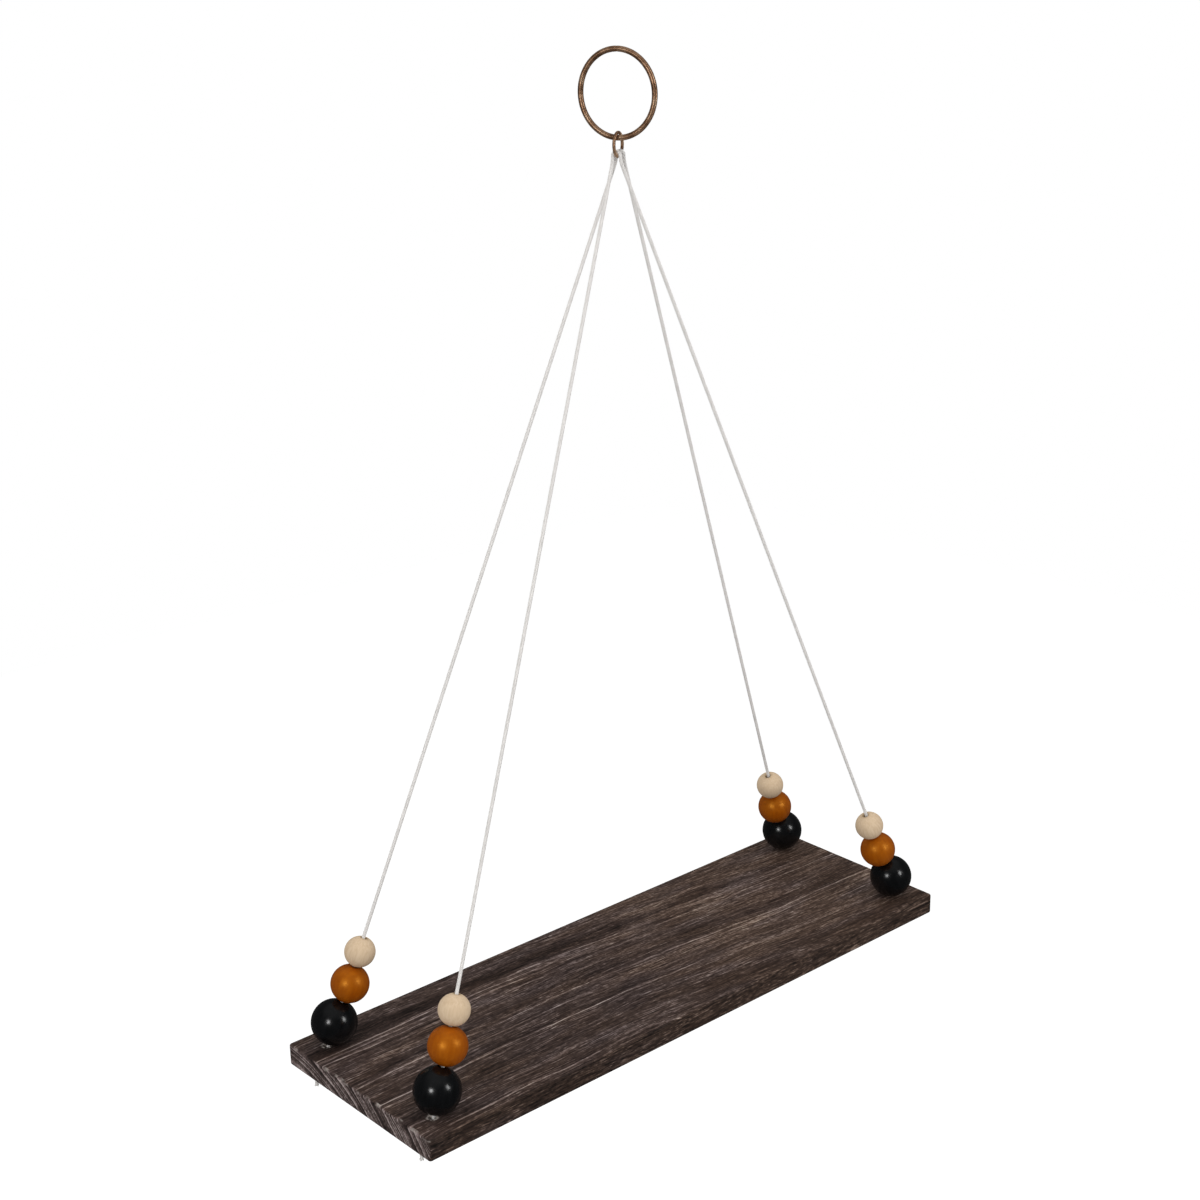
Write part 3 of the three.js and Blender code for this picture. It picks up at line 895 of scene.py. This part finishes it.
def grid_lines(length, hole_inset):
    """Distances along the plank where its grid has lines: close at the rounded edges, even elsewhere."""
    near = [0] + spaced(0, board_edge_radius, edge_cell)
    near += spaced(board_edge_radius, board_corner_radius, corner_cell)
    near += spaced(board_corner_radius, hole_inset - hole_cells * grid_cell, grid_cell)
    near += spaced(near[-1], hole_inset + hole_cells * grid_cell, grid_cell)
    between = spaced(near[-1], length - near[-1], grid_cell)[:-1]
    return np.array(near + between + [length - v for v in reversed(near)])


def depth_lines():
    """The same down the plank's edges, from the top."""
    near = [0] + spaced(0, board_edge_radius, edge_cell)
    between = spaced(near[-1], board_thickness - near[-1], grid_cell)[:-1]
    return np.array(near + between + [board_thickness - v for v in reversed(near)])


def eased(x, y, depth):
    """Where a place on the plain box goes when its corners and arrises are rounded."""
    inner_x, inner_y = board_length / 2 - board_corner_radius, board_width / 2 - board_corner_radius
    over_x, over_y = max(abs(x) - inner_x, 0), max(abs(y) - inner_y, 0)
    over = max(over_x, over_y)
    if over == 0:
        return x, y, depth
    span = math.hypot(over_x, over_y)
    toward = (math.copysign(over_x / span, x), math.copysign(over_y / span, y))
    inset = board_corner_radius - over
    from_face = min(depth, board_thickness - depth)
    if inset < board_edge_radius and from_face < board_edge_radius:
        a, b = board_edge_radius - inset, board_edge_radius - from_face
        reach = board_edge_radius / math.hypot(a, b)
        inset, from_face = board_edge_radius - a * reach, board_edge_radius - b * reach
        depth = from_face if depth < board_thickness / 2 else board_thickness - from_face
    over = board_corner_radius - inset
    start_x = math.copysign(min(abs(x), inner_x), x)
    start_y = math.copysign(min(abs(y), inner_y), y)
    return start_x + toward[0] * over, start_y + toward[1] * over, depth


def worn_share(place, hole_places):
    """How bare of stain a place on the plank is."""
    flat_place = Vector((place.x, place.y, 0))
    from_rim = min((flat_place - hole).length for hole in hole_places) - hole_radius
    chips = chip_strength * (noise.noise(place / chip_size) + chip_level)
    worn = max(0, 1 - abs(from_rim) / chip_reach) * chips
    from_end = board_length / 2 - abs(place.x)
    if place.z > board_high.z - board_edge_radius and from_end < board_edge_radius:
        worn = max(worn, wear_strength * noise.noise(place / wear_size) + wear_level)
    return min(1, max(0, worn))


def make_plank():
    """The plank: one grid wrapped round a box, with its edges eased and four holes through it."""
    xs = grid_lines(board_length, hole_end_inset) - board_length / 2
    ys = grid_lines(board_width, hole_side_inset) - board_width / 2
    depths = depth_lines()
    last_x, last_y, last_depth = len(xs) - 1, len(ys) - 1, len(depths) - 1
    holes = []
    for _, side_x, side_y in corners:
        hole_x = side_x * (board_length / 2 - hole_end_inset)
        hole_y = side_y * (board_width / 2 - hole_side_inset)
        holes.append((int(np.argmin(abs(xs - hole_x))), int(np.argmin(abs(ys - hole_y)))))

    def in_hole(i, j):
        """Whether a cell lies in the square that is left open round a hole."""
        x, y = i + 0.5, j + 0.5
        return any(abs(x - hole_i) < hole_cells and abs(y - hole_j) < hole_cells for hole_i, hole_j in holes)

    vertices, numbers, faces = [], {}, []

    def vertex(i, j, k):
        key = (i, j, k)
        if key not in numbers:
            x, y, depth = eased(xs[i], ys[j], depths[k])
            numbers[key] = len(vertices)
            vertices.append(Vector((x, y, board_high.z - depth)))
        return numbers[key]

    def face(*places):
        faces.append(tuple(vertex(*place) for place in places))

    for i in range(last_x):
        for j in range(last_y):
            if in_hole(i, j):
                continue
            for k in (0, last_depth):
                face((i, j, k), (i + 1, j, k), (i + 1, j + 1, k), (i, j + 1, k))
    for k in range(last_depth):
        for i in range(last_x):
            for j in (0, last_y):
                face((i, j, k), (i + 1, j, k), (i + 1, j, k + 1), (i, j, k + 1))
        for j in range(last_y):
            for i in (0, last_x):
                face((i, j, k), (i, j + 1, k), (i, j + 1, k + 1), (i, j, k + 1))

    # Each hole: rings that go from a square of the grid to the eased rim and down the wall
    wall_depths = [rim_ease] + spaced(rim_ease, board_thickness - rim_ease, wall_cell)
    side_steps = range(-hole_cells, hole_cells)
    around = [(hole_cells, step) for step in side_steps]
    around += [(-step, hole_cells) for step in side_steps]
    around += [(-hole_cells, -step) for step in side_steps]
    around += [(step, -hole_cells) for step in side_steps]
    for hole_i, hole_j in holes:
        center = Vector((xs[hole_i], ys[hole_j], 0))
        rings = [[vertex(hole_i + a, hole_j + b, 0) for a, b in around]]

        def ring_at(radius, depth, round_share):
            ring = []
            for a, b in around:
                square = Vector((a, b, 0)) * grid_cell
                place = square.lerp(square.normalized() * radius, round_share)
                ring.append(len(vertices))
                vertices.append(center + place + UP * (board_high.z - depth))
            return ring

        rings += [ring_at(hole_radius + rim_ease, 0, share) for share in top_round_shares]
        rings += [ring_at(hole_radius, depth, 1) for depth in wall_depths]
        rings += [ring_at(hole_radius + rim_ease, board_thickness, share) for share in bottom_round_shares]
        rings.append([vertex(hole_i + a, hole_j + b, last_depth) for a, b in around])
        for upper, lower in zip(rings, rings[1:]):
            for step in range(len(around)):
                beside = (step + 1) % len(around)
                faces.append((upper[step], upper[beside], lower[beside], lower[step]))

    hole_places = [Vector((xs[i], ys[j], 0)) for i, j in holes]
    bare = [worn_share(place, hole_places) for place in vertices]
    for place in vertices:
        wave = noise.noise(Vector((place.x / wave_length, place.y / wave_width, 0)))
        place.z += wave_height * wave
    piece = mesh_object("limed_plank", vertices, faces, plank_finish, {"bare": bare})
    place_piece(piece, "shelf", "stained_wood", "shelf_board")


# Camera, lights and the room

def look(yaw, pitch, roll):
    """Turn of a camera that looks yaw degrees from +Y towards +X, pitch down, and rolled."""
    yaw, pitch, roll = (math.radians(v) for v in (yaw, pitch, roll))
    ahead = Vector((math.cos(pitch) * math.sin(yaw), math.cos(pitch) * math.cos(yaw), -math.sin(pitch)))
    right = Vector((math.cos(yaw), -math.sin(yaw), 0))
    over = right.cross(ahead)
    rolled_right = math.cos(roll) * right + math.sin(roll) * over
    rolled_over = math.cos(roll) * over - math.sin(roll) * right
    return Matrix((rolled_right, rolled_over, -ahead)).transposed().to_4x4()


camera_place = Vector((-0.8137, -0.9039, 0.0654))
camera_yaw, camera_pitch, camera_roll = 41.22, 18.5, -1.17
camera_lens, camera_sensor = 59.59, 36


def make_camera():
    camera = bpy.data.cameras.new("camera")
    camera.lens = camera_lens
    camera.sensor_width = camera_sensor
    holder = new_object("camera", camera)
    holder.matrix_world = Matrix.Translation(camera_place) @ look(camera_yaw, camera_pitch, camera_roll)
    bpy.context.scene.camera = holder


# The camera stands this many degrees round from +X, and each lamp aside of it by its own
camera_azimuth = 270 - camera_yaw
lamps = {
    "left_softbox": {"aside": -28, "elevation": 18, "distance": 2, "size": (0.42, 0.42), "power": 10},
    "right_softbox": {"aside": 60, "elevation": 20, "distance": 2, "size": (0.34, 0.6), "power": 9},
    "overhead_softbox": {
        "aside": 10, "elevation": 75, "distance": 2.2, "size": (2.4, 2.4), "power": 20, "mirrored": False,
    },
}


def make_lamp(name, aside, elevation, distance, size, power, mirrored=True):
    """A softbox that faces the middle of the shelf."""
    middle = Vector((0, 0, board_high.z / 2))
    azimuth, rise = math.radians(camera_azimuth + aside), math.radians(elevation)
    level = math.cos(rise)
    toward = Vector((math.cos(azimuth) * level, math.sin(azimuth) * level, math.sin(rise)))
    lamp = bpy.data.lights.new(name, "AREA")
    lamp.shape = "RECTANGLE"
    lamp.size, lamp.size_y = size
    lamp.energy = power
    holder = new_object(name, lamp)
    facing = toward.to_track_quat("Z", "Y").to_matrix().to_4x4()
    holder.matrix_world = Matrix.Translation(middle + toward * distance) @ facing
    holder.visible_glossy = mirrored


# The room is white where it is seen directly. In the object's reflections it is dim, with a pale
# ceiling, as in a studio, because a white room would turn the black beads grey.
mirrored_room = 0.05
mirrored_ceiling = 0.25
ceiling_start, ceiling_full = 0.55, 0.95
fill_strength = 0.6
white = (1, 1, 1, 1)
floor_grey = (0.8, 0.8, 0.8, 1)
floor_glow = 0.5
floor_reach = 4
floor_drop = 1.2


def show_white(tree, lit, dim, bright):
    """Mixes a shader with what a mirror sees and with what a camera sees."""
    rays = add(tree, "ShaderNodeLightPath").outputs
    both = {0: rays["Is Camera Ray"], 1: rays["Is Transmission Ray"]}
    seen = add(tree, "ShaderNodeMath", both, operation="MAXIMUM")
    mirrored = add(tree, "ShaderNodeMixShader", {0: rays["Is Glossy Ray"], 1: lit, 2: dim})
    return add(tree, "ShaderNodeMixShader", {0: seen, 1: mirrored, 2: bright})


def make_room():
    world = bpy.data.worlds.new("studio")
    tree = empty_tree(world)
    fill = add(tree, "ShaderNodeBackground", {"Color": white, "Strength": fill_strength})
    bright = add(tree, "ShaderNodeBackground", {"Color": white, "Strength": 1})
    direction = add(tree, "ShaderNodeTexCoord").outputs["Generated"]
    height = add(tree, "ShaderNodeSeparateXYZ", {0: direction}).outputs["Z"]
    ceiling = {0: height, 1: ceiling_start, 2: ceiling_full, 3: mirrored_room, 4: mirrored_ceiling}
    strength = add(tree, "ShaderNodeMapRange", ceiling, interpolation_type="SMOOTHSTEP")
    dim = add(tree, "ShaderNodeBackground", {"Color": white, "Strength": strength})
    surface = show_white(tree, fill, dim, bright)
    add(tree, "ShaderNodeOutputWorld", {"Surface": surface})
    bpy.context.scene.world = world

    finish = bpy.data.materials.new("white_floor")
    tree = empty_tree(finish)
    matte = add(tree, "ShaderNodeBsdfDiffuse", {"Color": floor_grey})
    # The added glow makes the open floor white to the camera, and a shadow on it still shows
    glow = add(tree, "ShaderNodeEmission", {"Color": white, "Strength": floor_glow})
    bright = add(tree, "ShaderNodeAddShader", {0: matte, 1: glow})
    dim = add(tree, "ShaderNodeEmission", {"Color": white, "Strength": mirrored_room})
    surface = show_white(tree, matte, dim, bright)
    add(tree, "ShaderNodeOutputMaterial", {"Surface": surface})
    height = board_low.z - floor_drop
    signs = [(-1, -1), (1, -1), (1, 1), (-1, 1)]
    floor_corners = [(x * floor_reach, y * floor_reach, height) for x, y in signs]
    floor_mesh = bpy.data.meshes.new("floor")
    floor_mesh.from_pydata(floor_corners, [], [(0, 1, 2, 3)])
    floor_mesh.materials.append(finish)
    new_object("floor", floor_mesh)


make_camera()
make_cords()
make_large_ring()
make_small_ring()
make_plank()
make_beads()
for lamp_name, lamp_values in lamps.items():
    make_lamp(lamp_name, **lamp_values)
make_room()
bpy.context.scene.view_settings.view_transform = "Standard"
